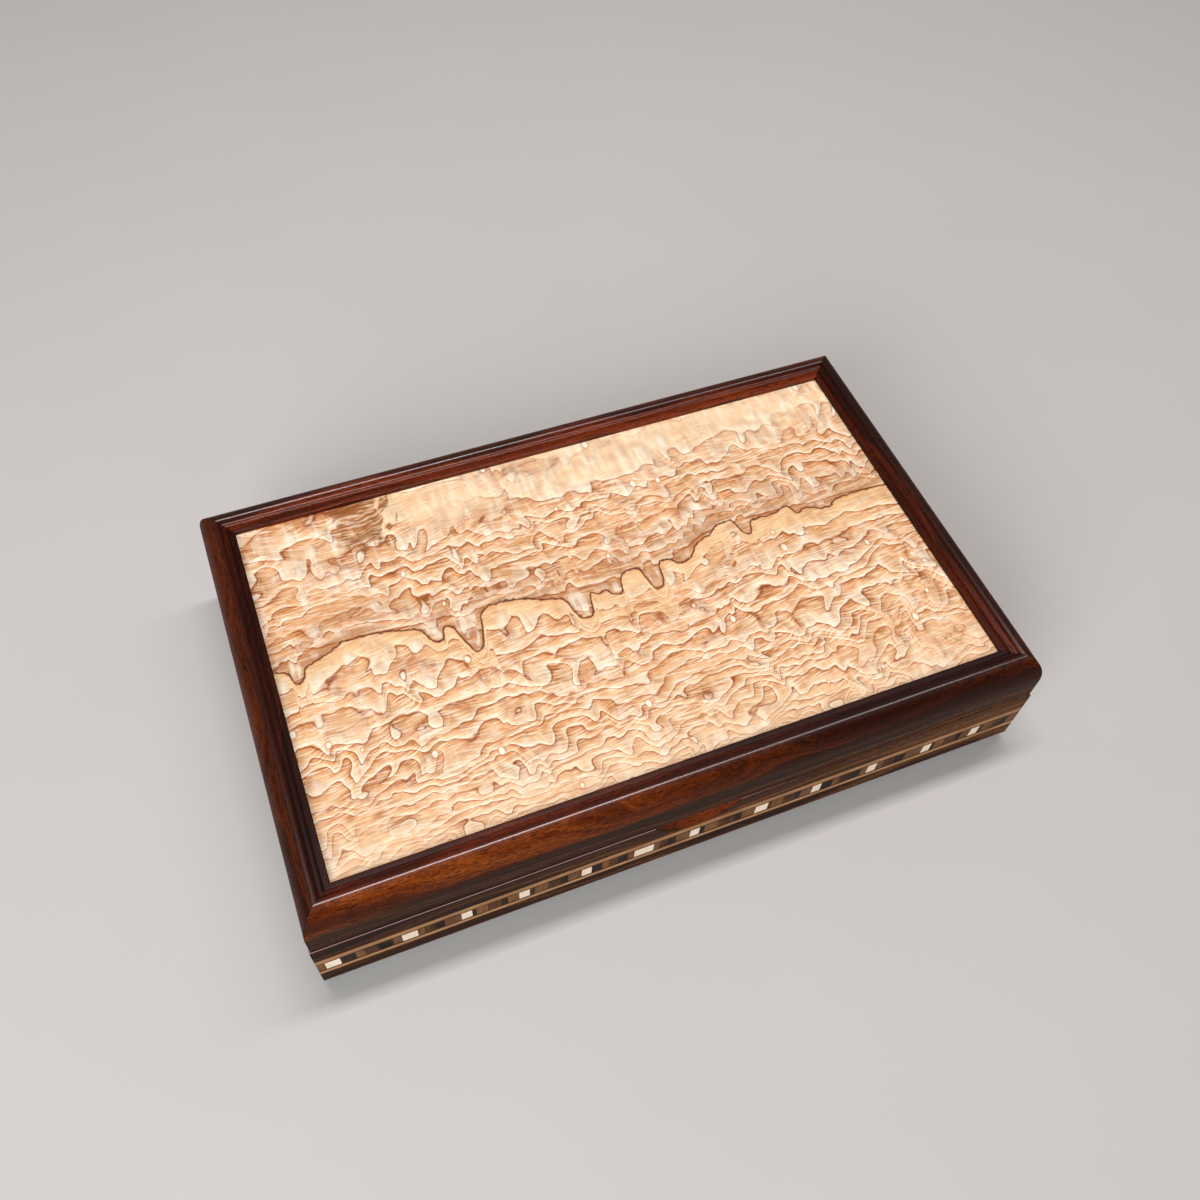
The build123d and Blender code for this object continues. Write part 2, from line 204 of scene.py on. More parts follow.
def makeRosewood(name, alongY, heartMm, gloss, outerMm=500.0, dark=((0.0, 0.0), (1.0, 0.0))):
    # The grain runs along X, or along Y where alongY is true. outerMm is the middle of the box to its
    # outer face, or far away for inner pieces, and dark the painted shade on the top of the wood: how much
    # darker it is at shares of the length from the left
    look = rosewoodLook
    material, add, objectPlace = newMaterial(name)
    millimetres = add("VectorMath", {0: objectPlace, "Scale": 1000.0}, operation="SCALE")
    wood = add("Mapping", {
        "Vector": millimetres,
        "Location": heartMm,
        "Rotation": (0, 0, -math.pi / 2 if alongY else 0.0),
    })

    # Rings round the heart of a bent, tapered log
    swayPlace = add("Mapping", {"Vector": wood, "Scale": look["swayPerMm"]})
    sway = add("TexNoise", {"Vector": swayPlace, "Scale": 1.0, "Detail": 2.0}, output="Color")
    sway = add("VectorMath", [sway, (0.5, 0.5, 0.5)], **minus)
    sway = add("VectorMath", {0: sway, "Scale": look["swayMm"]}, operation="SCALE")
    bent = add("VectorMath", [wood, sway], operation="ADD")
    across = add("VectorMath", [bent, (look["taper"], 1.0, 1.0)], **times)
    radius = add("VectorMath", [across], output="Value", operation="LENGTH")
    ringPlace = add("CombineXYZ", [
        add("Math", [add("SeparateXYZ", [wood], output="X"), look["linePerMm"]], **times),
        add("Math", [radius, 1 / look["lineMm"]], **times),
    ])
    lines = {"Vector": ringPlace, "Scale": 1.0, "Detail": 5.0, "Roughness": look["lineRoughness"]}
    line = add("TexNoise", lines)
    broad = add("TexNoise", {"Vector": ringPlace, "Scale": look["broadScale"], "Detail": 1.0})
    tone = add("Math", [broad, look["broadShare"], line], **timesPlus)
    speckPlace = add("Mapping", {"Vector": wood, "Scale": look["speckPerMm"]})
    speck = add("TexNoise", {"Vector": speckPlace, "Scale": 1.0, "Detail": 2.0})
    tone = add("Math", [add("Math", [speck, 0.5], **minus), look["speck"], tone], **timesPlus)
    tone = add("MapRange", [tone, *look["toneRange"]])

    # Three tones: the crown and shoulder, the flatter wood inside the crest, and the upright faces
    fromLeft = add("SeparateXYZ", [millimetres], output="X")
    fromLeft = add("Math", [fromLeft, 1 / boxSizes["length"], 0.5], **timesPlus)
    # The top takes painted shade: darker along its length as dark gives
    shadedTopTone = add("Math", [tone, add("FloatCurve", {"Value": fromLeft}, points=dark)], **minus)
    faceTone = add("Math", [tone, add("MapRange", [fromLeft, *look["faceDarker"]])], **minus)
    crown, flat, face = [
        add("ValToRGB", [zoneTone], stops=[
            (0.0, look[zone + "Dark"]),
            (0.5, look[zone + "Mid"]),
            (1.0, look[zone + "Light"]),
        ])
        for zone, zoneTone in (("crown", shadedTopTone), ("flat", shadedTopTone), ("face", faceTone))
    ]
    inward = add("SeparateXYZ", [millimetres], output="X" if alongY else "Y")
    inward = add("Math", [outerMm, add("Math", [inward], operation="ABSOLUTE")], **minus)
    inner = add("MapRange", [inward, *look["crownEndMm"]], **smooth)
    height = add("SeparateXYZ", [millimetres], output="Z")
    upward = add("MapRange", [height, *look["shoulderMm"]], **smooth)
    colour = add("Mix", {0: inner, 6: crown, 7: flat}, **colourMix)
    colour = add("Mix", {0: upward, 6: face, 7: colour}, **colourMix)

    # Painted light: the finger scoop's hollow is painted a lit red-orange, its tone following the rings
    paintedScoopLight = add("Math", [
        add("MapRange", [inward, *look["hollowFrontMm"]], **smooth),
        add("MapRange", [inward, *look["hollowBackMm"]], **smooth),
    ], **times)
    paintedScoopLight = add("Math", [paintedScoopLight, add("MapRange", [height, *look["hollowTopMm"]])], **times)
    paintedScoopLight = add("Math", [paintedScoopLight, add("MapRange", [height, *look["hollowFootMm"]])], **times)
    scoopLitColours = (look["crownMid"], look["scoop"])
    scoopLitTone = add("ValToRGB", [tone], stops=zip(look["hollowTones"], scoopLitColours))
    colour = add("Mix", {0: paintedScoopLight, 6: colour, 7: scoopLitTone}, **colourMix)

    # Open pores, and a dark glue line in each mitre
    porePlace = add("Mapping", {"Vector": wood, "Scale": [1 / size for size in look["poreMm"]]})
    pore = add("TexNoise", {"Vector": porePlace, "Scale": 1.0, "Detail": 1.0})
    pore = add("MapRange", [pore, *look["poreRange"]])
    mitre = add("SeparateXYZ", [add("VectorMath", [millimetres], operation="ABSOLUTE")])
    mitre = add("Math", [mitre, mitre.node.outputs["Y"]], **minus)
    mitre = add("Math", [mitre, (boxSizes["length"] - boxSizes["depth"]) / 2], **minus)
    mitre = add("Math", [mitre], operation="ABSOLUTE")
    mitre = add("MapRange", [mitre, *look["mitreMm"]])
    for dash in (pore, mitre):
        colour = add("Mix", {0: dash, 6: colour, 7: look["poreColour"]}, **colourMix)

    # A painted highlight: a pale pinkish line along the eased seam edge and along the foot
    seamHighlight = add("Math", [
        add("MapRange", [height, *look["seamAboveMm"]], **smooth),
        add("MapRange", [inward, *look["seamDeepMm"]], **smooth),
    ], **times)
    seamHighlight = add("Math", [seamHighlight, add("MapRange", [height, *look["seamBelowMm"]])], **times)
    seamHighlight = add("Math", [seamHighlight, add("MapRange", [fromLeft, *look["seamAlong"]])], **times)
    footHighlight = add("Math", [
        add("MapRange", [height, *look["footBelowMm"]], **smooth),
        add("MapRange", [inward, *look["footDeepMm"]], **smooth),
    ], **times)
    footHighlight = add("Math", [footHighlight, look["footHighlightShare"]], **times)
    paintedEdgeHighlight = add("Math", [seamHighlight, footHighlight], operation="MAXIMUM")
    colour = add("Mix", {0: paintedEdgeHighlight, 6: colour, 7: look["paintedEdgeHighlight"]}, **colourMix)
    return finishMaterial(material, {
        "Base Color": colour,
        "Roughness": 0.5,
        "IOR": 1.5,
        "Specular IOR Level": look["woodSpecular"],
        "Coat Weight": add("Math", [
            add("MapRange", [inward, *look["glossRisesMm"], look["faceGloss"], gloss], **smooth),
            add("MapRange", [inward, *look["glossFallsMm"], 0.0, gloss * 0.5], **smooth),
        ], **minus),
        "Coat Roughness": look["lacquerRoughness"],
        "Coat IOR": look["lacquerIor"],
    })


# Tamo ash: a pale straw wood cut as veneer through dimpled rings, so each ring hangs in drips and
# scallops. Behind a ring the wood is pale, before it tan and streaked; a thin satin lacquer covers it

ashLook = {
    "palest": "#FFF9E4",
    "pale": "#FADBB1",
    "straw": "#EFBD8A",
    "tan": "#E3A76F",
    "deepTan": "#CC8248",
    "line": "#95480F",
    "streak": "#B06C32",
    "greyBrown": "#B57E52",
    "golden": "#F6CD96",
    "pink": "#EDBC99",
    "darkLine": "#68320C",
    "brownPatch": "#9A5F2B",
    # Soft patterns: turns per millimetre across and from the back, where each starts, detail, roughness
    "flatPatterns": {
        "wobble": ((0.3, 0.3, 1), (0, 0, 0), 1.0, 0.5),
        "slow": ((0.012, 0.018, 1), (3, 8, 0), 2.0, 0.5),
        "tall": ((0.03, 0.05, 1), (9, 5, 0), 1.0, 0.5),
        "ripple": ((0.16, 0.1, 1), (5, 2, 0), 1.0, 0.5),
        "fine": ((0.022, 0.06, 1), (1, 9, 0), 2.0, 0.5),
        "stroke": ((0.25, 0.05, 1), (0, 0, 0), 3.0, 0.5),
    },
    # The same along the fibres. Real fibres are 0.1 to 0.3 mm wide: drawn 1.15 mm wide, so that they show
    "fibrePatterns": {
        "fibre": ((0.08, 1 / 1.15, 1), (0, 0, 0), 3.0, 0.6),
        "group": ((0.035, 0.13, 1), (2, 6, 0), 1.0, 0.5),
        "back": ((0.016, 0.03, 1), (8, 3, 0), 2.0, 0.5),
        "patchy": ((0.04, 0.3, 1), (4, 1, 0), 4.0, 0.5),
    },
    "fibreTilt": 0.09,  # they rise a little to the right
    "fibreBendMm": 16.0,
    "fibreTurn": 0.18,  # how far they bend round the drips
    # The dark ring across the middle: share of the panel's length from the left, millimetres from the back
    "darkRing": [
        (0.0, 95), (0.0177, 98), (0.0217, 102.5), (0.0285, 106), (0.0353, 105), (0.0408, 100),
        (0.0448, 97.5), (0.065, 95), (0.0924, 91), (0.106, 88.7), (0.1467, 89.3), (0.1875, 92.5),
        (0.2113, 95), (0.2228, 102.5), (0.2317, 105.7), (0.2391, 106), (0.2446, 102.5), (0.25, 98),
        (0.258, 99), (0.2656, 106), (0.275, 114.5), (0.2826, 118.5), (0.29, 117), (0.297, 111),
        (0.302, 103), (0.308, 96), (0.33, 93), (0.364, 94.5), (0.405, 100), (0.4253, 102), (0.4334, 106),
        (0.4375, 112.5), (0.4443, 117.5), (0.4538, 119), (0.4633, 116), (0.468, 110), (0.473, 104),
        (0.483, 106), (0.4932, 105.5), (0.5013, 108), (0.5136, 110), (0.5204, 107.5), (0.5258, 100),
        (0.5408, 97), (0.553, 97), (0.5598, 102.5), (0.5645, 109), (0.5734, 114.5), (0.5815, 112.5),
        (0.587, 106), (0.5903, 99), (0.5985, 97), (0.612, 99), (0.6257, 102.5), (0.639, 101), (0.6529, 96),
        (0.663, 92.5), (0.69, 89), (0.7174, 84), (0.7296, 84.3), (0.735, 90), (0.74, 95), (0.7459, 96.8),
        (0.7527, 95), (0.7582, 90), (0.765, 88), (0.799, 88.3), (0.826, 85.7), (0.8397, 92.5),
        (0.8478, 90.7), (0.867, 92.5), (0.8906, 94.3), (0.9076, 91), (0.948, 90), (1.0, 90.8),
    ],
    # The slow course of that ring without its drips, which the rings behind it follow
    "darkCourse": [
        (0.0, 94), (0.1, 88), (0.2, 91), (0.3, 93), (0.42, 98), (0.5, 100), (0.6, 99), (0.7, 87), (0.85, 87),
        (1.0, 91),
    ],
    "courseLowMm": 80.0,  # both courses lie between this and this plus the span
    "courseSpanMm": 45.0,
    "slopeStepMm": 0.5,
    "wobbleMm": 2.4,  # unevenness of the dark line
    # Millimetres from the back edge at which each ring starts, where nothing bends it
    "ringStarts": [
        -14, 24, 40, 49, 57, 66, 76, 84, 93, 107, 120, 130, 144, 153, 161, 169, 177, 182, 187, 192, 198, 204,
        210, 217, 224,
    ],
    "darkNumber": 8,
    # Colours from one ring's dark start to the next
    "ringTones": [
        (0.0, "line"), (0.06, "deepTan"), (0.16, "tan"), (0.42, "straw"), (0.72, "pale"), (0.88, "palest"),
        (0.945, "straw"), (0.985, "line"),
    ],
    # How far from the dark ring its course, or its drips, still bend the other rings
    "courseBehindMm": (0.0, 75.0, 1.0, 0.0),
    "courseBeforeMm": (2.0, 34.0, 1.0, 0.0),
    "dripsBeforeMm": (0.5, 13.0, 1.0, 0.0),
    # The rings before the dark one climb by 22 mm toward the right end
    "liftShare": (0.4, 1.0, 0.0, 22.0),
    "liftStartMm": (10.0, 46.0),
    "liftEndMm": (120.0, 224.0, 1.0, 0.0),
    # Ridges and dimples of the growing tree, their size on the panel, and how far they push the rings
    "ridgeSizeMm": (18.0, 40.0, 1.0),
    "ridgeSwayMm": 60.0,
    "ridgeMm": 10.5,
    "ridgeBaseMm": -3.5,
    "ridgeSteep": -4.0,
    "ridgeRound": 0.0011,
    "ridgeHeights": (0.35, 0.65, 0.3, 1.25),
    "dimpleSizeMm": (12.0, 18.0, 1.0),
    "dimpleMm": 5.5,
    "dimpleEdge": (0.44, 0.04),
    "dimpleChance": (0.45, 0.8),
    "dimpleFadeMm": (150.0, 185.0, 1.0, 0.35),
    "rippleMm": 2.6,
    "broadHangMm": (20.0, 70.0, 46.0, 18.0),
    "calmMm": (1.5, 10.0),  # nothing hangs this close to the dark ring
    # Stretches in which a ring fades, and the tan drips behind the dark ring
    "fadePerMm": 0.016,
    "fadePerRing": 3.7,
    "fadeRange": (0.46, 0.72, 0.0, 0.8),
    "inDripMm": (0.0, -5.0),  # before the dark ring's slow course, but still behind the ring
    "dripTan": 0.55,
    # Fine rings between the strong ones
    "fineRingMm": 3.2,
    "fineSway": 3.0,
    "fineTones": [
        (0.0, "#5A5A5A"), (0.12, "#747474"), (0.5, "#808080"), (0.75, "#D0D0D0"), (0.9, "#C8C8C8"),
        (0.97, "#484848"),
    ],
    "finePatches": (0.44, 0.62, 0.0, 0.75),
    "fineFromDarkMm": (3.0, 14.0),
    "fineFromBackMm": (20.0, 45.0),
    # Pale wood along the back, brown wood behind the dark ring, a painted sheen and crowns
    "backPaleMm": (40.0, 22.0, 0.0, 0.85),
    "backWander": 0.35,
    "backPaleShare": (0.36, 0.42),
    "backPaleHoles": (0.6, 0.52, 0.6, 1.0),
    "brownBehindMm": (-32.0, 0.0, 0.0, 0.88),
    "brownInDrips": 0.8,
    "paintedSheenMm": (30.0, 60.0, 0.32, 0.12),
    "crownRidge": (0.55, 1.0, 0.0, 0.38),
    "crownDimple": 0.7,
    # A ring's line and the tan beside it, as shares of the way to the next ring
    "tanAfterLine": (0.15, 0.03, 0.0, 0.3),
    "tanBeforeLine": (0.9, 0.95, 0.0, 0.25),
    "lineStart": (0.94, 0.975),
    "lineEnd": (0.06, 0.01),
    "lineFade": 0.9,
    "lineWeight": 0.92,
    "lineFibre": (0.4, 0.55, 0.45, 1.0),
    # The brown patch and the small oval pips
    "patchMm": 116.0,  # left of the middle
    "patchBow": 0.05,
    "patchRaggedMm": (26.0, 30.0),
    "pipSizeMm": (16.0, 24.0, 1.0),
    "pipStart": (0.4, 0.7, 0),
    "pipSizes": (0.8, 1.0, 0.0, 0.1),
    "pipSmallest": 0.03,
    "pipUneven": 0.012,
    "bump": (0.25, 0.001),  # strength and height in metres
    "specular": 0.25,
    "coatWeight": 0.3,
    "coatRoughness": 0.2,
    # Colours laid over the rings, one after the other: each shows where all its fields allow it. A field
    # without a range counts as it is
    "layers": [
        ("streak", ("fibre", 0.48, 0.58), ("inRing", 0.04, 0.75, 1.0, 0.4), ("group", 0.38, 0.6, 0.3, 1.0)),
        ("palest", ("fibre", 0.46, 0.34, 0.0, 0.62)),
        ("pale", ("backPale",)),
        ("pale", ("fromBack", 176.0, 214.0, 0.0, 0.35)),
        ("greyBrown", ("behind",), ("patchy", 0.4, 0.62, 0.3, 1.1)),
        ("golden", ("apart", 22.0, 6.0, 0.0, 0.5), ("isBefore",)),
        # Painted sheen: pale and pink strokes across the grain
        ("palest", ("stroke", 0.5, 0.7), ("shimmer",)),
        ("pink", ("stroke", 0.5, 0.33), ("shimmer",)),
        # Partly the wood's pale figure, partly a painted highlight: pale strokes in the drips and on the
        # crowns
        ("palest", ("inDrip",), ("distance", 1.0, 3.5, 0.0, 0.55), ("stroke", 0.42, 0.56, 0.05, 1.0)),
        ("palest", ("crown",), ("distance", 2.0, 8.0), ("stroke", 0.35, 0.6, 0.3, 1.0)),
        ("deepTan", ("besideLine",), ("fade", 0.2, 0.7, 1.0, 0.2), ("backPale", 0.1, 0.5, 1.0, 0.15)),
        ("line", ("ringLine",)),
        ("darkLine", ("distance", 0.2, 0.85, 0.95, 0.0)),
        ("brownPatch", ("patchX", -17.0, -6.0), ("patchX", 16.0, 13.5), ("patchY", 38.0, 31.0),
         ("fibre", 0.4, 0.55, 0.4, 0.95)),
        ("deepTan", ("beyondPip", 0.09, 0.01, 0.0, 0.5), ("isPip",)),
        ("palest", ("beyondPip", 0.012, -0.02), ("isPip",)),
    ],
}


def makeTamoAsh():
    look = ashLook
    panelLow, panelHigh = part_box("lid_liner")
    length = (panelHigh[0] - panelLow[0]) * 1000
    depth = (panelHigh[1] - panelLow[1]) * 1000
    material, add, objectPlace = newMaterial("tamoAshVeneerLacquered")
    millimetres = add("VectorMath", {0: objectPlace, "Scale": 1000.0}, operation="SCALE")
    across = add("SeparateXYZ", [millimetres], output="X")
    fromBack = add("Math", [depth / 2, add("SeparateXYZ", [millimetres], output="Y")], **minus)
    share = add("Math", [across, 1 / length, 0.5], **timesPlus)
    flat = add("CombineXYZ", [across, fromBack])
    fields = {}
    for name, (scale, start, detail, roughness) in look["flatPatterns"].items():
        place = add("Mapping", {"Vector": flat, "Scale": scale, "Location": start})
        noise = {"Vector": place, "Scale": 1.0, "Detail": detail, "Roughness": roughness}
        fields[name] = add("TexNoise", noise, **flatNoise)
    slow = fields["slow"]

    # The dark ring parts the panel: rings behind it keep its slow course, rings before it its drips
    low, span, step = look["courseLowMm"], look["courseSpanMm"], look["slopeStepMm"]
    shareBeside = add("Math", [share, step / length])
    darkest, beside, course = [
        add("Math", [
            add("FloatCurve", {"Value": at}, points=[(place, (mm - low) / span) for place, mm in look[line]]),
            span,
            low,
        ], **timesPlus)
        for at, line in ((share, "darkRing"), (shareBeside, "darkRing"), (share, "darkCourse"))
    ]
    wobble = add("Math", [fields["wobble"], look["wobbleMm"], -look["wobbleMm"] / 2], **timesPlus)
    apart = add("Math", [add("Math", [fromBack, darkest], **minus), wobble])
    slope = add("Math", [add("Math", [beside, darkest], **minus), 1 / step], **times)
    slope = add("Math", [add("Math", [slope, slope, 1.0], **timesPlus)], operation="SQRT")
    distance = add("Math", [add("Math", [apart], operation="ABSOLUTE"), slope], operation="DIVIDE")
    isBehind = add("Math", [apart, 0.0], operation="LESS_THAN")
    isBefore = add("Math", [1.0, isBehind], **minus)
    behindCourse = add("Math", [course, fromBack], **minus)
    courseShift = add("Math", [course, look["ringStarts"][look["darkNumber"]]], **minus)
    behindShift = add("Math", [
        courseShift,
        add("MapRange", [behindCourse, *look["courseBehindMm"]], **smooth),
    ], **times)
    beforeShift = add("Math", [
        add("Math", [darkest, course], **minus),
        add("MapRange", [apart, *look["dripsBeforeMm"]], **smooth),
        add("Math", [courseShift, add("MapRange", [apart, *look["courseBeforeMm"]], **smooth)], **times),
    ], **timesPlus)
    shift = add("Mix", {0: isBehind, 2: beforeShift, 3: behindShift})
    lift = add("Math", [
        add("MapRange", [share, *look["liftShare"]], **smooth),
        add("MapRange", [apart, *look["liftStartMm"]], **smooth),
    ], **times)
    lift = add("Math", [lift, add("MapRange", [fromBack, *look["liftEndMm"]], **smooth)], **times)

    # Ridges and dimples push the rings toward the front
    swayed = add("CombineXYZ", [add("Math", [slow, look["ridgeSwayMm"], across], **timesPlus), fromBack])
    wavePlace = add("Mapping", {"Vector": swayed, "Scale": [1 / size for size in look["ridgeSizeMm"]]})
    wave = add("TexNoise", {"Vector": wavePlace, "Scale": 1.0, "Detail": 1.0, "Roughness": 0.35}, **flatNoise)
    wave = add("Math", [wave, 0.5], **minus)
    wave = add("Math", [add("Math", [wave, wave, look["ridgeRound"]], **timesPlus)], operation="SQRT")
    ridge = add("Math", [wave, look["ridgeSteep"], 1.0], **timesPlus)
    ridge = add("Math", [ridge, add("MapRange", [fields["tall"], *look["ridgeHeights"]], **smooth)], **times)
    dimplePlace = add("Mapping", {"Vector": flat, "Scale": [1 / size for size in look["dimpleSizeMm"]]})
    dimple = add("TexVoronoi", {"Vector": dimplePlace, "Scale": 1.0, "Smoothness": 0.3},
                 feature="SMOOTH_F1", voronoi_dimensions="2D")
    chance = add("SeparateColor", [dimple.node.outputs["Color"]])
    dimple = add("Math", [
        add("MapRange", [dimple, *look["dimpleEdge"]], **smooth),
        add("MapRange", [chance, *look["dimpleChance"]], **smooth),
    ], **times)
    dimple = add("Math", [dimple, add("MapRange", [fromBack, *look["dimpleFadeMm"]], **smooth)], **times)
    hang = add("Math", [ridge, look["ridgeMm"], look["ridgeBaseMm"]], **timesPlus)
    hang = add("Math", [dimple, look["dimpleMm"], hang], **timesPlus)
    hang = add("Math", [fields["ripple"], look["rippleMm"], hang], **timesPlus)
    broadHang = add("MapRange", [fromBack, *look["broadHangMm"]], **smooth)
    hang = add("Math", [add("Math", [slow, 0.5], **minus), broadHang, hang], **timesPlus)
    hang = add("Math", [hang, add("MapRange", [distance, *look["calmMm"]], **smooth)], **times)
    moved = add("Math", [add("Math", [fromBack, lift]), add("Math", [shift, hang])], **minus)

    # Ring number, and the place within a ring from its dark start to the next
    rings = len(look["ringStarts"])
    places = [
        (max(0.0, min(1.0, mm / depth)), number / rings)
        for number, mm in enumerate(look["ringStarts"])
    ]
    count = add("FloatCurve", {"Value": add("Math", [moved, depth], operation="DIVIDE")}, points=places)
    count = add("Math", [count, float(rings)], **times)
    inRing = add("Math", [count], operation="FRACT")
    number = add("Math", [count], operation="FLOOR")
    colour = add("ValToRGB", [inRing], stops=[(place, look[shade]) for place, shade in look["ringTones"]])

    # Fading stretches and tan drips
    fadePlace = add("CombineXYZ", [
        add("Math", [across, look["fadePerMm"]], **times),
        add("Math", [number, look["fadePerRing"]], **times),
    ])
    fade = add("TexNoise", {"Vector": fadePlace, "Scale": 1.0, "Detail": 2.0}, **flatNoise)
    fade = add("MapRange", [fade, *look["fadeRange"]], **smooth)
    colour = add("Mix", {0: fade, 6: colour, 7: look["straw"]}, **colourMix)
    inDrip = add("Math", [add("MapRange", [behindCourse, *look["inDripMm"]], **smooth), isBehind], **times)
    dripTan = add("Math", [inDrip, look["dripTan"]], **times)
    colour = add("Mix", {0: dripTan, 6: colour, 7: look["tan"]}, **colourMix)

    # Fine rings between the strong ones, as pale ribbons with a brown edge
    fineSway = add("Math", [slow, look["fineSway"]], **times)
    fineRun = add("Math", [moved, 1 / look["fineRingMm"], fineSway], **timesPlus)
    fineTone = add("ValToRGB", [add("Math", [fineRun], operation="FRACT")], stops=look["fineTones"])
    fine = add("MapRange", [fields["fine"], *look["finePatches"]], **smooth)
    fine = add("Math", [fine, add("MapRange", [distance, *look["fineFromDarkMm"]], **smooth)], **times)
    fine = add("Math", [fine, add("MapRange", [fromBack, *look["fineFromBackMm"]], **smooth)], **times)
    colour = add("Mix", {0: fine, 6: colour, 7: fineTone}, blend_type="SOFT_LIGHT", **colourMix)

    # Fibres run a little uphill to the right and bend round the dimples
    bend = add("Math", [slow, look["fibreBendMm"], fromBack], **timesPlus)
    bend = add("Math", [hang, look["fibreTurn"], bend], **timesPlus)
    fibreRun = add("Math", [across, look["fibreTilt"], bend], **timesPlus)
    fibreFlat = add("CombineXYZ", [across, fibreRun])
    for name, (scale, start, detail, roughness) in look["fibrePatterns"].items():
        place = add("Mapping", {"Vector": fibreFlat, "Scale": scale, "Location": start})
        noise = {"Vector": place, "Scale": 1.0, "Detail": detail, "Roughness": roughness}
        fields[name] = add("TexNoise", noise, **flatNoise)

    # Pale wood along the back, grey-brown wood behind the dark ring
    backShare = add("Math", [fields["back"], look["backWander"], share], **timesPlus)
    backPale = add("Math", [
        add("MapRange", [fromBack, *look["backPaleMm"]], **smooth),
        add("MapRange", [backShare, *look["backPaleShare"]], **smooth),
    ], **times)
    backHoles = add("MapRange", [fields["back"], *look["backPaleHoles"]], **smooth)
    backPale = add("Math", [backPale, backHoles], **times)
    behind = add("Math", [
        add("MapRange", [apart, *look["brownBehindMm"]]),
        add("Math", [inDrip, look["brownInDrips"]], **times),
    ], operation="MAXIMUM")
    behind = add("Math", [behind, isBehind], **times)

    # The crown of each ridge and dimple, painted paler: partly the wood's pale figure and partly a painted
    # highlight. Also the tan on both sides of a ring's line, and the line itself
    crown = add("Math", [
        add("Math", [dimple, look["crownDimple"]], **times),
        add("MapRange", [ridge, *look["crownRidge"]], **smooth),
    ], operation="MAXIMUM")
    besideLine = add("Math", [
        add("MapRange", [inRing, *look["tanAfterLine"]], **smooth),
        add("MapRange", [inRing, *look["tanBeforeLine"]], **smooth),
    ], operation="MAXIMUM")
    ringLine = add("Math", [
        add("MapRange", [inRing, *look["lineStart"]], **smooth),
        add("MapRange", [inRing, *look["lineEnd"]], **smooth),
    ], operation="MAXIMUM")
    lineWeight = add("Math", [add("Math", [backPale, fade]), look["lineFade"]], **times)
    lineWeight = add("Math", [look["lineWeight"], lineWeight], use_clamp=True, **minus)
    ringLine = add("Math", [ringLine, lineWeight], **times)
    ringLine = add("Math", [ringLine, add("MapRange", [fields["fibre"], *look["lineFibre"]])], **times)

    # One brown patch in the back left corner, bowed and with ragged edges
    raggedX, raggedY = look["patchRaggedMm"]
    patchX = add("Math", [add("Math", [fields["ripple"], 0.5], **minus), raggedX, across], **timesPlus)
    patchX = add("Math", [patchX, look["patchMm"]])
    patchY = add("Math", [add("Math", [fields["stroke"], 0.5], **minus), raggedY, fromBack], **timesPlus)
    patchY = add("Math", [add("Math", [patchX, patchX], **times), look["patchBow"], patchY], **timesPlus)

    # Small oval pips where a dimple is cut off
    pipPlace = add("Mapping", {
        "Vector": flat,
        "Scale": [1 / size for size in look["pipSizeMm"]],
        "Location": look["pipStart"],
    })
    pip = add("TexVoronoi", {"Vector": pipPlace, "Scale": 1.0}, voronoi_dimensions="2D")
    pipChance = add("SeparateColor", [pip.node.outputs["Color"]])
    pipSize = add("MapRange", [pipChance, *look["pipSizes"]], **smooth)
    pipEdge = add("Math", [wobble, look["pipUneven"], pip], **timesPlus)

    fields.update(
        inRing=inRing, fromBack=fromBack, backPale=backPale, behind=behind, apart=apart, isBefore=isBefore,
        inDrip=inDrip, distance=distance, crown=crown, fade=fade, besideLine=besideLine, ringLine=ringLine,
        patchX=patchX, patchY=patchY,
        shimmer=add("MapRange", [fromBack, *look["paintedSheenMm"]], **smooth),
        beyondPip=add("Math", [pipEdge, pipSize], **minus),
        isPip=add("Math", [pipSize, look["pipSmallest"]], operation="GREATER_THAN"),
    )
    for shade, *limits in look["layers"]:
        weights = [
            add("MapRange", [fields[field], *limit], **smooth) if limit else fields[field]
            for field, *limit in limits
        ]
        weight = weights[0]
        for other in weights[1:]:
            weight = add("Math", [weight, other], **times)
        colour = add("Mix", {0: weight, 6: colour, 7: look[shade]}, **colourMix)
    strength, rise = look["bump"]
    return finishMaterial(material, {
        "Base Color": colour,
        "Roughness": 0.5,
        "IOR": 1.5,
        "Specular IOR Level": look["specular"],
        "Normal": add("Bump", {"Strength": strength, "Distance": rise, "Height": hang}),
        "Coat Weight": look["coatWeight"],
        "Coat Roughness": look["coatRoughness"],
        "Coat IOR": 1.5,
    })


# Inlay woods: small blocks of holly, ebony, walnut, oak and pear with their grain upright, between strips
# of beech and wenge. Sawn, glued in and sanded flush under thin lacquer, they show as flat, clean patches
# of colour. Their real grain is finer than 0.2 mm: drawn 0.5 to 0.8 mm wide, so that it shows

inlayLook = {
    "woods": {
        "white_tiles": ("hollyTile", "#FFEFDD", "#F0D8BF"),
        "black_tiles": ("ebonyTile", "#3E2B1D", "#0C0704"),
        "brown_tiles": ("walnutTile", "#633E22", "#2E1A0E"),
        "tan_tiles": ("oakTile", "#885F38", "#634022"),
        "rosy_tiles": ("pearTile", "#81583C", "#613C27"),
        "lower_light_strips": ("beechStripLower", "#BE9068", "#986D46"),
        "upper_light_strips": ("beechStripUpper", "#B8885E", "#946742"),
        "lower_dark_lines": ("wengeLineLower", "#4A2C1C", "#2A170F"),
        "upper_dark_lines": ("wengeLineUpper", "#4A2C1C", "#2A170F"),
    },
    "tileGrainPerMm": (1.3, 1.3, 0.08),
    "stripGrainPerMm": (0.05, 0.05, 2.2),
    "broadPerMm": 0.09,
    "broadShare": 0.6,
    "toneRange": (0.6, 1.0),
    "specular": 0.05,
    "coatWeight": 0.03,
    "coatRoughness": 0.13,
}


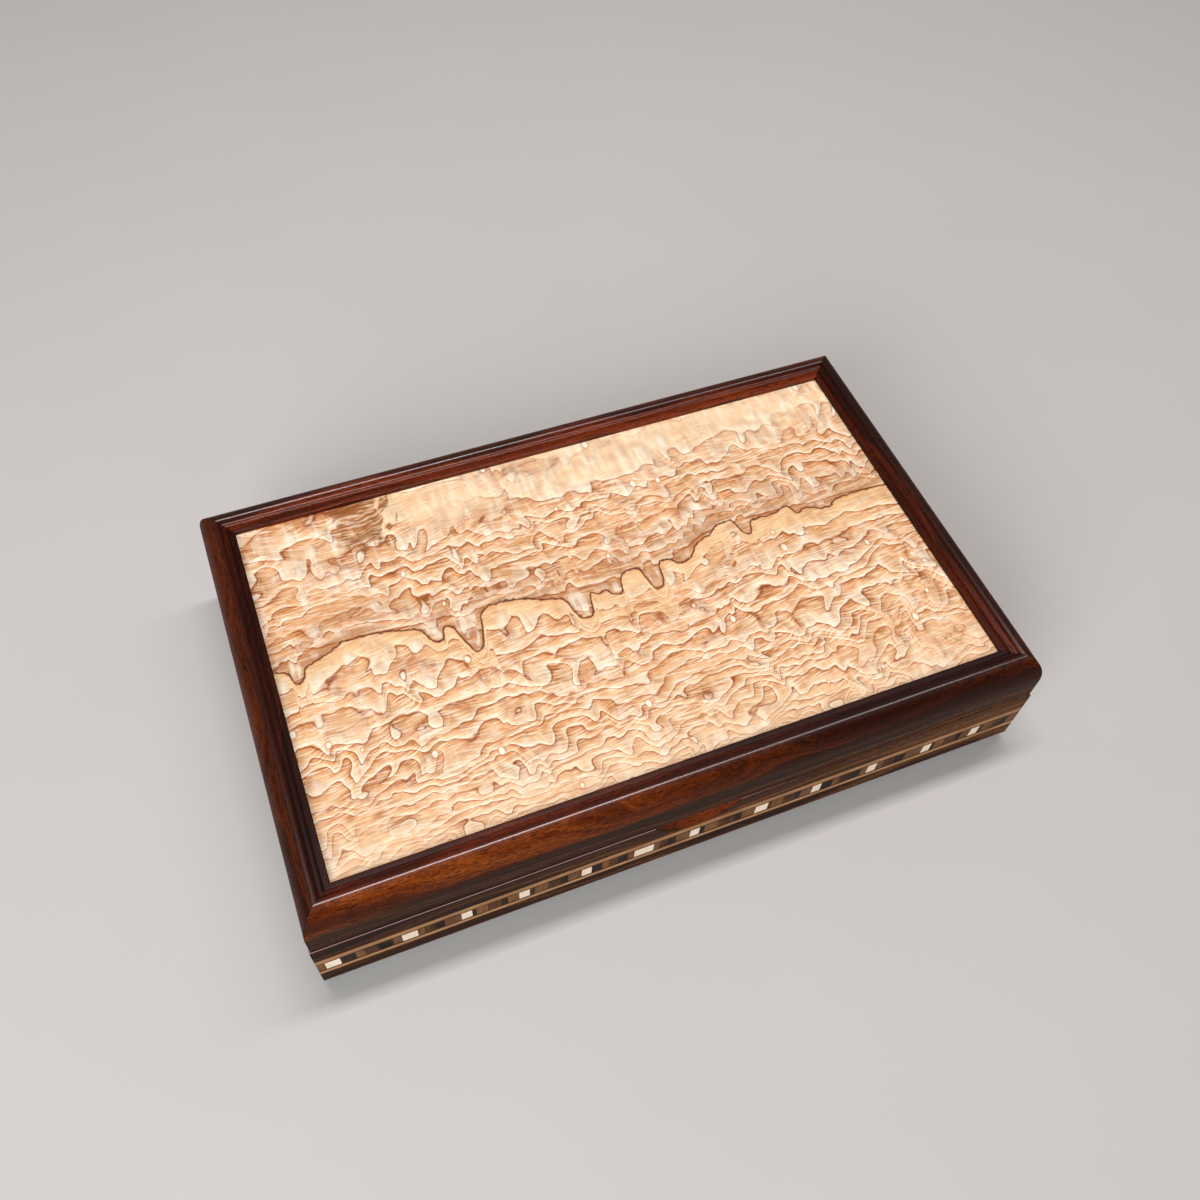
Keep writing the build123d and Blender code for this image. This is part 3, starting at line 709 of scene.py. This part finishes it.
def makeInlayWood(name, light, dark, grainPerMm):
    look = inlayLook
    material, add, objectPlace = newMaterial(name)
    millimetres = add("VectorMath", {0: objectPlace, "Scale": 1000.0}, operation="SCALE")
    grainPlace = add("Mapping", {"Vector": millimetres, "Scale": grainPerMm})
    grain = add("TexNoise", {"Vector": grainPlace, "Scale": 1.0, "Detail": 4.0})
    broad = add("TexNoise", {"Vector": millimetres, "Scale": look["broadPerMm"], "Detail": 1.0})
    tone = add("Math", [broad, look["broadShare"], grain], **timesPlus)
    tone = add("MapRange", [tone, *look["toneRange"]])
    return finishMaterial(material, {
        "Base Color": add("Mix", {0: tone, 6: dark, 7: light}, **colourMix),
        "Roughness": 0.5,
        "IOR": 1.5,
        "Specular IOR Level": look["specular"],
        "Coat Weight": look["coatWeight"],
        "Coat Roughness": look["coatRoughness"],
    })


# Suede is split, dyed and brushed leather, and felt is pressed wool. Both are dull and soft, with light and
# dark strokes and a faint sheen. Their real nap is about 0.1 mm: drawn 1 mm wide, so that it shows

liningLook = {
    "suede": ("suedeWine", "#6E1F26", "#3E0D13"),
    "felt": ("woolFeltBlack", "#2A2A2C", "#161618"),
    "napPerMetre": 900.0,
    "strokePerMetre": 22.0,
    "napShare": 0.5,
    "strokeShare": 0.35,
    "toneRange": (0.1, 0.75),
    "bump": (0.4, 0.0002),  # strength and height in metres
    "sheen": 0.35,
}


def makeLining(name, light, dark):
    look = liningLook
    material, add, objectPlace = newMaterial(name)
    nap = add("TexNoise", {"Vector": objectPlace, "Scale": look["napPerMetre"], "Detail": 3.0})
    stroke = add("TexNoise", {"Vector": objectPlace, "Scale": look["strokePerMetre"], "Detail": 2.0})
    stroke = add("Math", [stroke, look["strokeShare"]], **times)
    tone = add("Math", [nap, look["napShare"], stroke], **timesPlus)
    tone = add("MapRange", [tone, *look["toneRange"]])
    strength, rise = look["bump"]
    return finishMaterial(material, {
        "Base Color": add("Mix", {0: tone, 6: dark, 7: light}, **colourMix),
        "Roughness": 0.95,
        "Normal": add("Bump", {"Strength": strength, "Distance": rise, "Height": nap}),
        "Sheen Weight": look["sheen"],
        "Sheen Roughness": 0.5,
    })


# Birch plywood, peeled, pressed and sanded: pale and plain, with a fine grain along X and no gloss. The
# grain is drawn 1.4 mm wide, so that it shows

boardLook = {
    "dark": "#A97E50",
    "light": "#D3AC7C",
    "grainPerMetre": (30.0, 700.0, 700.0),
    "tones": (0.3, 0.7),
}


def makeBoard():
    look = boardLook
    material, add, objectPlace = newMaterial("birchPlySanded")
    grainPlace = add("Mapping", {"Vector": objectPlace, "Scale": look["grainPerMetre"]})
    grain = add("TexNoise", {"Vector": grainPlace, "Scale": 1.0, "Detail": 5.0})
    colour = add("ValToRGB", [grain], stops=zip(look["tones"], (look["dark"], look["light"])))
    return finishMaterial(material, {"Base Color": colour, "Roughness": 0.55})


# Brass, drawn, brushed along X and lacquered satin: a warm yellow metal whose light is pulled out in fine
# lines, a little darker where hands have been. Real brush lines are under 0.1 mm: drawn 0.25 mm wide

brassLook = {
    "dull": "#B98A3C",
    "bright": "#D9B25C",
    "brushPerMetre": (60.0, 4000.0, 4000.0),
    "tarnishPerMetre": 120.0,
    "tones": (0.35, 0.7),
    "roughness": (0.22, 0.4),
}


def makeBrass():
    look = brassLook
    material, add, objectPlace = newMaterial("brassSatinLacquered")
    brushPlace = add("Mapping", {"Vector": objectPlace, "Scale": look["brushPerMetre"]})
    brush = add("TexNoise", {"Vector": brushPlace, "Scale": 1.0, "Detail": 2.0})
    tarnish = add("TexNoise", {"Vector": objectPlace, "Scale": look["tarnishPerMetre"], "Detail": 3.0})
    colour = add("ValToRGB", [tarnish], stops=zip(look["tones"], (look["dull"], look["bright"])))
    roughness = add("MapRange", [brush, 0.0, 1.0, *look["roughness"]])
    return finishMaterial(material, {"Base Color": colour, "Metallic": 1.0, "Roughness": roughness})


# Lid rails and box walls: long bars with their moulding, cut at 45 degrees where they meet
# All sizes in millimetres. A profile point is (distance in from the outer face, height)

railSizes = {
    "face": 19.2,
    "panelTop": 75.8,
    "low": 50.0,
    "setback": 0.7,
    "wallThick": 14.0,
    "underlipLow": -9.7,
    "grooveLow": -6.2,
    "grooveDeep": 5.0,
    "lipRise": 2.8,
    "lipEase": 0.6,
    "filletOut": 3.2,
    "beadOut": 1.8,
    "beadRise": 1.7,
    "coveOut": 2.1,
    "coveRise": 1.4,
    "crestOut": 9.4,
    "crestRise": 6.7,
    "shoulderDrop": 17.5,
    "shortSteps": 5,  # facets of the eased lip and of the crest
    "beadSteps": 9,  # facets of the bead and of the cove
    "shoulderSteps": 20,
}

wallSizes = {
    "thick": 14.0,
    "low": 1.0,
    "seam": 49.6,
    "topEase": 0.8,
    "footRound": 5.0,
    "boardSeat": 8.0,
    "boardTop": 7.0,
    "bandFoot": 16.6,
    "bandTop": 35.2,
    "bandDeep": 2.5,
    "scoopBehindFace": -30.222,
    "scoopAboveSeam": 15.321,
    "scoopRadius": 42.108,
    "easeSteps": 6,
    "footSteps": 12,
    "scoopSegments": 192,
    "scoopRings": 96,
}


def arcPoints(centre, radii, startDegrees, endDegrees, steps):
    points = []
    for step in range(steps + 1):
        angle = math.radians(startDegrees + (endDegrees - startDegrees) * step / steps)
        points.append((centre[0] + radii[0] * math.cos(angle), centre[1] + radii[1] * math.sin(angle)))
    return points


def railProfile():
    size = railSizes
    coveFoot = size["filletOut"] + size["beadOut"]
    coveTop = coveFoot + size["coveOut"]
    beadTop = size["lipRise"] + size["beadRise"]
    arrisRise = beadTop + size["coveRise"]
    run = size["crestOut"] - coveTop
    climb = size["crestRise"] - arrisRise
    crestRadius = (run ** 2 + climb ** 2) / (2 * climb)
    arrisAngle = 90 + math.degrees(math.asin(run / crestRadius))
    shoulder = (size["face"] - size["setback"] - size["crestOut"], size["shoulderDrop"])
    ease = size["lipEase"]
    points = [  # out from the panel's edge and up from its face
        (size["face"] - size["wallThick"], size["underlipLow"]),
        (0, size["underlipLow"]),
        (0, size["grooveLow"]),
        (size["grooveDeep"], size["grooveLow"]),
        (size["grooveDeep"], 0),
        (0, 0),
    ]
    points += arcPoints((ease, size["lipRise"] - ease), (ease, ease), 180, 90, size["shortSteps"])
    points += arcPoints((coveFoot, size["lipRise"]), (size["beadOut"], size["beadRise"]),
                        180, 90, size["beadSteps"])
    points += arcPoints((coveFoot, arrisRise), (size["coveOut"], size["coveRise"]),
                        270, 360, size["beadSteps"])[1:]
    points += arcPoints((size["crestOut"], size["crestRise"] - crestRadius), (crestRadius, crestRadius),
                        arrisAngle, 90, size["shortSteps"])[1:]
    points += arcPoints((size["crestOut"], size["crestRise"] - shoulder[1]), shoulder,
                        90, 0, size["shoulderSteps"])[1:]
    profile = [(size["face"] - out, size["panelTop"] + up) for out, up in points]
    return [(size["wallThick"], size["low"])] + profile + [(size["setback"], size["low"])]


def wallProfile():
    size = wallSizes
    ease, foot = size["topEase"], size["footRound"]
    points = [
        (size["boardSeat"], size["low"]),
        (size["boardSeat"], size["boardTop"]),
        (size["thick"], size["boardTop"]),
        (size["thick"], size["seam"]),
    ]
    points += arcPoints((ease, size["seam"] - ease), (ease, ease), 90, 180, size["easeSteps"])
    points += [
        (0, size["bandTop"]),
        (size["bandDeep"], size["bandTop"]),
        (size["bandDeep"], size["bandFoot"]),
        (0, size["bandFoot"]),
    ]
    return points + arcPoints((foot, size["low"] + foot), (foot, foot), 180, 270, size["footSteps"])


def pulledBar(name, profile, side):
    # A flat strip whose edge is pulled along the profile until it closes, then mitred and turned to its side
    number = boxSizes["sides"].index(side)
    along, across = boxSizes["length"], boxSizes["depth"]
    if number % 2:
        along, across = across, along
    reach = across / 2
    tiny = boxSizes["mergeMetres"]
    (startIn, startHigh), (endIn, endHigh) = profile[0], profile[-1]
    middle = -reach + (startIn + endIn) / 2
    bpy.ops.mesh.primitive_plane_add(size=0.001, location=(0, middle / 1000, startHigh / 1000))
    bar = bpy.context.object
    bar.name = name
    bar.scale = (along + boxSizes["mitreSpare"], abs(startIn - endIn), 1)
    bpy.ops.object.transform_apply()
    bpy.ops.object.mode_set(mode="EDIT")
    bpy.ops.mesh.select_mode(type="EDGE")
    bpy.ops.mesh.select_all(action="DESELECT")
    mesh = bmesh.from_edit_mesh(bar.data)
    for edge in mesh.edges:
        edge.select_set(all(abs(v.co.y - (startIn - reach) / 1000) < tiny for v in edge.verts))
    bmesh.update_edit_mesh(bar.data)
    for (here, low), (there, high) in zip(profile, profile[1:]):
        pull = (0, (there - here) / 1000, (high - low) / 1000)
        bpy.ops.mesh.extrude_edges_move(TRANSFORM_OT_translate={"value": pull})
    bpy.ops.mesh.select_mode(type="VERT")
    bpy.ops.mesh.select_all(action="SELECT")
    bpy.ops.mesh.remove_doubles(threshold=tiny)
    for end in (-1, 1):
        bpy.ops.mesh.select_all(action="SELECT")
        bpy.ops.mesh.bisect(plane_co=(end * along / 2000, -reach / 1000, 0), plane_no=(end, 1, 0),
                            use_fill=True, clear_outer=True)
    bpy.ops.mesh.select_all(action="SELECT")
    bpy.ops.mesh.normals_make_consistent(inside=False)
    bpy.ops.object.mode_set(mode="OBJECT")
    bar.rotation_euler = (0, 0, math.pi / 2 * number)
    bpy.ops.object.transform_apply()
    return bar


def pick(piece):
    # Makes this the one selected and active object
    bpy.ops.object.select_all(action="DESELECT")
    bpy.context.view_layer.objects.active = piece
    piece.select_set(True)


def cutAway(bar, cutter):
    # Takes the cutter's shape out of the bar, then removes the cutter
    pick(bar)
    cut = bar.modifiers.new("cut", "BOOLEAN")
    cut.operation = "DIFFERENCE"
    cut.object = cutter
    bpy.ops.object.modifier_apply(modifier="cut")
    bpy.data.objects.remove(cutter)


def cutPockets(bar, low, high):
    # The seats of the hinge leaves, open to the back
    size = boxSizes
    face = size["depth"] / 2
    for x in (-size["hingeX"], size["hingeX"]):
        y = face + (size["barrelReach"] - size["leafReach"]) / 2
        bpy.ops.mesh.primitive_cube_add(size=0.001, location=(x / 1000, y / 1000, (low + high) / 2000))
        pocket = bpy.context.object
        pocket.scale = (size["leafLength"], size["leafReach"] + size["barrelReach"], high - low)
        bpy.ops.object.transform_apply()
        cutAway(bar, pocket)


def cutScoop(wall):
    # The finger scoop is the cap of a large ball
    size = wallSizes
    y = -boxSizes["depth"] / 2 + size["scoopBehindFace"]
    z = size["seam"] + size["scoopAboveSeam"]
    bpy.ops.mesh.primitive_uv_sphere_add(segments=size["scoopSegments"], ring_count=size["scoopRings"],
                                         radius=size["scoopRadius"] / 1000, location=(0, y / 1000, z / 1000))
    ball = bpy.context.object
    bpy.ops.object.transform_apply()
    cutAway(wall, ball)


def finishBar(bar, node, body, material):
    pick(bar)
    bar.data.materials.clear()
    bar.data.materials.append(material)
    bpy.ops.object.shade_smooth_by_angle(angle=math.radians(boxSizes["sharpDegrees"]))
    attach(bar, body)
    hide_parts(node)


def makeBars():
    bpy.ops.object.select_all(action="DESELECT")
    look = rosewoodLook
    for number, side in enumerate(boxSizes["sides"]):
        alongY = side in ("right", "left")
        heart = [start + step * number for start, step in zip(look["heartMm"], look["heartStepMm"])]
        rail = pulledBar("moulded" + side.capitalize() + "Rail", railProfile(), side)
        wall = pulledBar("rounded" + side.capitalize() + "Wall", wallProfile(), side)
        if side == "back":
            cutPockets(rail, railSizes["low"], railSizes["low"] + boxSizes["leafThick"])
            cutPockets(wall, wallSizes["seam"] - boxSizes["leafThick"], wallSizes["seam"])
        if side == "front":
            cutScoop(wall)
        outer = boxSizes["length" if alongY else "depth"] / 2
        gloss = look["sideGloss" if alongY else "railGloss"]
        # Painted shade along the top of this rail
        dark = look["paintedShadeOnTops"][side]
        railWood = makeRosewood("rosewoodRail" + side.capitalize(), alongY, heart, gloss, outer, dark)
        wallWood = makeRosewood("rosewoodWall" + side.capitalize(), alongY, heart, look["faceGloss"], outer)
        finishBar(rail, "lid_" + side + "_rail", "lid", railWood)
        finishBar(wall, side + "_wall", "box", wallWood)


def dressNodes():
    inside = makeRosewood("rosewoodInside", False, rosewoodLook["insideHeartMm"], rosewoodLook["faceGloss"])
    for node in ("front_tray_runner", "back_tray_runner", "middle_divider", "right_dividers",
                 "tray_front", "tray_right_end", "tray_back", "tray_left_end",
                 "tray_long_divider", "tray_cross_dividers"):
        dress(node, inside)
    for node, colours in inlayLook["woods"].items():
        grain = inlayLook["tileGrainPerMm" if "tiles" in node else "stripGrainPerMm"]
        dress(node, makeInlayWood(*colours, grain))
    dress("lid_panel", makeTamoAsh())
    suede = makeLining(*liningLook["suede"])
    for node in ("floor_liner", "lid_liner", "tray_liner"):
        dress(node, suede)
    dress("base_felt", makeLining(*liningLook["felt"]))
    plain = makeBoard()
    for node in ("bottom_board", "tray_bottom"):
        dress(node, plain)
    brass = makeBrass()
    for node in nodes:
        if "hinge" in node or "screws" in node:
            dress(node, brass)


makeBars()
print("rails and walls pulled, mitred and cut")
dressNodes()
print("CAD nodes dressed")


# Floor, light and camera. The floor is seamless paper, matt and slightly mottled, with no gloss

studioLook = {
    "floorSize": 14.0,
    "floorColour": "#C8C8C6",
    "floorMottle": "#C4C4C2",
    "mottlePerMetre": 9.0,
    "floorRoughness": 0.9,
    "worldColour": "#FFFFFF",
    "worldStrength": 0.2,
    "lamps": [
        # name, place, turn in degrees, size, watts, colour
        ("overheadLeft", (-0.02, 0.22, 1.75), (0, 0, 0), (0.86, 0.2), 14.5, "#FFF4F2"),
        ("overheadRight", (0.82, 0.22, 1.75), (0, 0, 0), (0.82, 0.2), 6.0, "#FFF4F2"),
        ("frontFill", (-1.25, -1.25, 1.0), (60, 0, -45), (1.2, 1.2), 31.0, "#FFFFFF"),
    ],
}

cameraLook = {
    "place": (-0.15551, -0.32000, 0.59560),
    "aim": (-0.00718, -0.00239, 0.0758),
    "rollDegrees": 4.257,
    "lensMm": 34.19,
    "sensorMm": 36.0,
    "clipStart": 0.01,
}


def makeFloor():
    look = studioLook
    bpy.ops.mesh.primitive_plane_add(size=look["floorSize"], location=(0, 0, 0))
    floor = bpy.context.object
    floor.name = "studioFloor"
    material, add, objectPlace = newMaterial("paperBackdropMatte")
    mottle = add("TexNoise", {"Vector": objectPlace, "Scale": look["mottlePerMetre"], "Detail": 3.0})
    colour = add("Mix", {0: mottle, 6: look["floorMottle"], 7: look["floorColour"]}, **colourMix)
    paper = {"Base Color": colour, "Roughness": look["floorRoughness"]}
    floor.data.materials.append(finishMaterial(material, paper))


def makeLight():
    world = bpy.data.worlds.new("studioWorld")
    bpy.context.scene.world = world
    world.use_nodes = True
    background = world.node_tree.nodes["Background"]
    background.inputs["Color"].default_value = linearColour(studioLook["worldColour"])
    background.inputs["Strength"].default_value = studioLook["worldStrength"]
    for name, place, turn, size, watts, colour in studioLook["lamps"]:
        bpy.ops.object.light_add(type="AREA", location=place)
        lamp = bpy.context.object
        lamp.name = name
        lamp.data.shape = "RECTANGLE"
        lamp.data.size, lamp.data.size_y = size
        lamp.data.energy = watts
        lamp.data.color = linearColour(colour)[:3]
        lamp.rotation_euler = [math.radians(angle) for angle in turn]


def makeCamera():
    place = Vector(cameraLook["place"])
    bpy.ops.object.camera_add(location=place)
    camera = bpy.context.object
    camera.name = "photoCamera"
    camera.data.lens = cameraLook["lensMm"]
    camera.data.sensor_width = cameraLook["sensorMm"]
    camera.data.sensor_fit = "HORIZONTAL"
    camera.data.clip_start = cameraLook["clipStart"]
    look = (Vector(cameraLook["aim"]) - place).to_track_quat("-Z", "Y").to_matrix()
    roll = Matrix.Rotation(math.radians(cameraLook["rollDegrees"]), 3, "Z")
    camera.rotation_euler = (look @ roll).to_euler()
    bpy.context.scene.camera = camera


bpy.ops.object.select_all(action="DESELECT")
makeFloor()
makeLight()
makeCamera()
bpy.context.scene.view_settings.view_transform = "Standard"
print("floor, light and camera in place")
